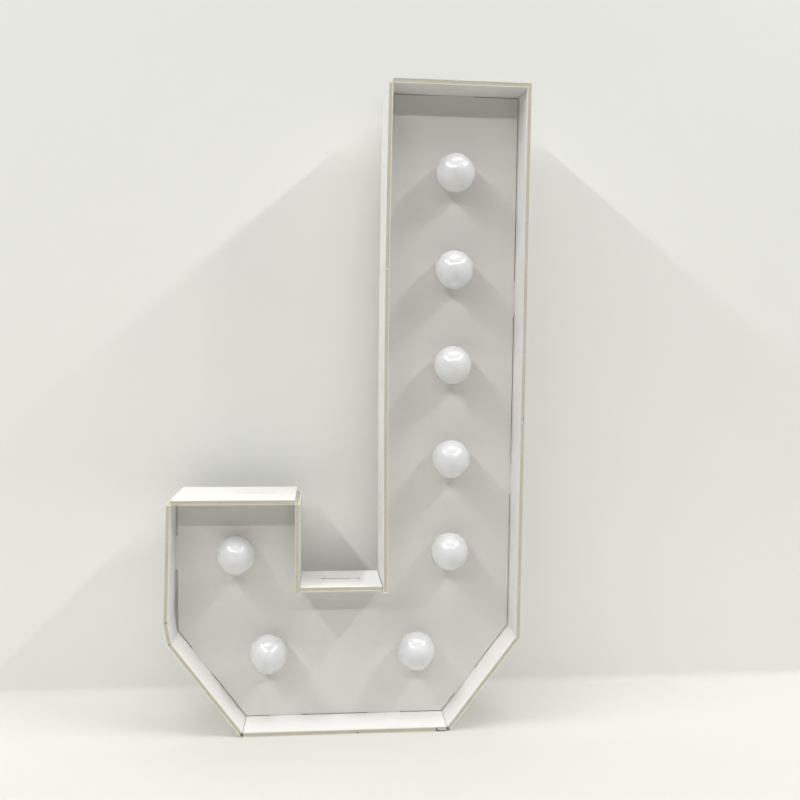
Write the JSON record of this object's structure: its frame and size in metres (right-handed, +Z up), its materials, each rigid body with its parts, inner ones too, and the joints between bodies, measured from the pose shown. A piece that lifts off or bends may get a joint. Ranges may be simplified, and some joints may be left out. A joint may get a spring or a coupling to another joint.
{
  "type": "light-up letter",
  "caption": "Free-standing marquee letter J: a white foam board tray with chamfered foot, face panel set back in it, frosted globe lamps, and a battery box behind.",
  "frame": {"origin": "middle of the letter's footprint, on the surface it stands on", "axes": "+Z up, +X to the right as the letter is read, and the open front faces -Y"},
  "size_m": [0.5024, 0.1102, 0.914],
  "materials": {
    "foam_board": "white paper face, cream foam core on the cut edges",
    "face_panel": "white paper face, matt",
    "globe": "frosted white, glossy",
    "lamp_holder": "moulded white",
    "light_board": "white solder mask",
    "battery_box": "fine spark-eroded black",
    "switch": "smooth black",
    "contact": "nickel-plated spring steel",
    "battery_cell": "plain wrapped cell with bare ends",
    "tape": "white foam tape"
  },
  "bodies": {
    "letter": {"face_panel": "face_panel", "base_board": "foam_board", "base_end_board": "foam_board", "stem_right_folded_board": "foam_board", "stem_right_upper_board": "foam_board", "stem_top_board": "foam_board", "stem_left_upper_board": "foam_board", "stem_left_lower_board": "foam_board", "notch_floor_board": "foam_board", "hook_right_board": "foam_board", "hook_top_board": "foam_board", "hook_left_upper_board": "foam_board", "hook_left_lower_board": "foam_board", "foot_left_board": "foam_board", "lamp_holder_1": "lamp_holder", "light_board_1": "light_board", "lamp_holder_2": "lamp_holder", "light_board_2": "light_board", "lamp_holder_3": "lamp_holder", "light_board_3": "light_board", "lamp_holder_4": "lamp_holder", "light_board_4": "light_board", "lamp_holder_5": "lamp_holder", "light_board_5": "light_board", "lamp_holder_6": "lamp_holder", "light_board_6": "light_board", "lamp_holder_7": "lamp_holder", "light_board_7": "light_board", "lamp_holder_8": "lamp_holder", "light_board_8": "light_board", "tape_strip_1": "tape", "tape_strip_2": "tape", "battery_housing": "battery_box", "battery_contact_1": "contact", "battery_contact_2": "contact", "battery_contact_3": "contact", "battery_contact_4": "contact", "battery_cell_1": "battery_cell", "battery_cell_2": "battery_cell", "battery_cell_3": "battery_cell"},
    "globe_1": {"globe_1": "globe"},
    "globe_2": {"globe_2": "globe"},
    "globe_3": {"globe_3": "globe"},
    "globe_4": {"globe_4": "globe"},
    "globe_5": {"globe_5": "globe"},
    "globe_6": {"globe_6": "globe"},
    "globe_7": {"globe_7": "globe"},
    "globe_8": {"globe_8": "globe"},
    "battery_lid": {"battery_lid": "battery_box"},
    "switch_slider": {"switch_slider": "switch"}
  },
  "joints": [
    {"name": "globe_1_twist", "type": "hinge", "parent": "letter", "child": "globe_1", "pos_m": [0.15224, 0, 0.796], "axis": [0, -1, 0], "range_deg": [0, 50]},
    {"name": "globe_2_twist", "type": "hinge", "parent": "letter", "child": "globe_2", "pos_m": [0.15224, 0, 0.66038], "axis": [0, -1, 0], "range_deg": [0, 50]},
    {"name": "globe_3_twist", "type": "hinge", "parent": "letter", "child": "globe_3", "pos_m": [0.15224, 0, 0.52475], "axis": [0, -1, 0], "range_deg": [0, 50]},
    {"name": "globe_4_twist", "type": "hinge", "parent": "letter", "child": "globe_4", "pos_m": [0.15224, 0, 0.38913], "axis": [0, -1, 0], "range_deg": [0, 50]},
    {"name": "globe_5_twist", "type": "hinge", "parent": "letter", "child": "globe_5", "pos_m": [0.15224, 0, 0.2535], "axis": [0, -1, 0], "range_deg": [0, 50]},
    {"name": "globe_6_twist", "type": "hinge", "parent": "letter", "child": "globe_6", "pos_m": [0.10524, 0, 0.1065], "axis": [0, -1, 0], "range_deg": [0, 50]},
    {"name": "globe_7_twist", "type": "hinge", "parent": "letter", "child": "globe_7", "pos_m": [-0.10826, 0, 0.1065], "axis": [0, -1, 0], "range_deg": [0, 50]},
    {"name": "globe_8_twist", "type": "hinge", "parent": "letter", "child": "globe_8", "pos_m": [-0.15526, 0, 0.2515], "axis": [0, -1, 0], "range_deg": [0, 50]},
    {"name": "battery_lid_slide", "type": "slide", "parent": "letter", "child": "battery_lid", "axis": [0, 0, 1], "range_m": [0, 0.05]},
    {"name": "switch_slide", "type": "slide", "parent": "letter", "child": "switch_slider", "axis": [1, 0, 0], "range_m": [0, 0.004]}
  ]
}
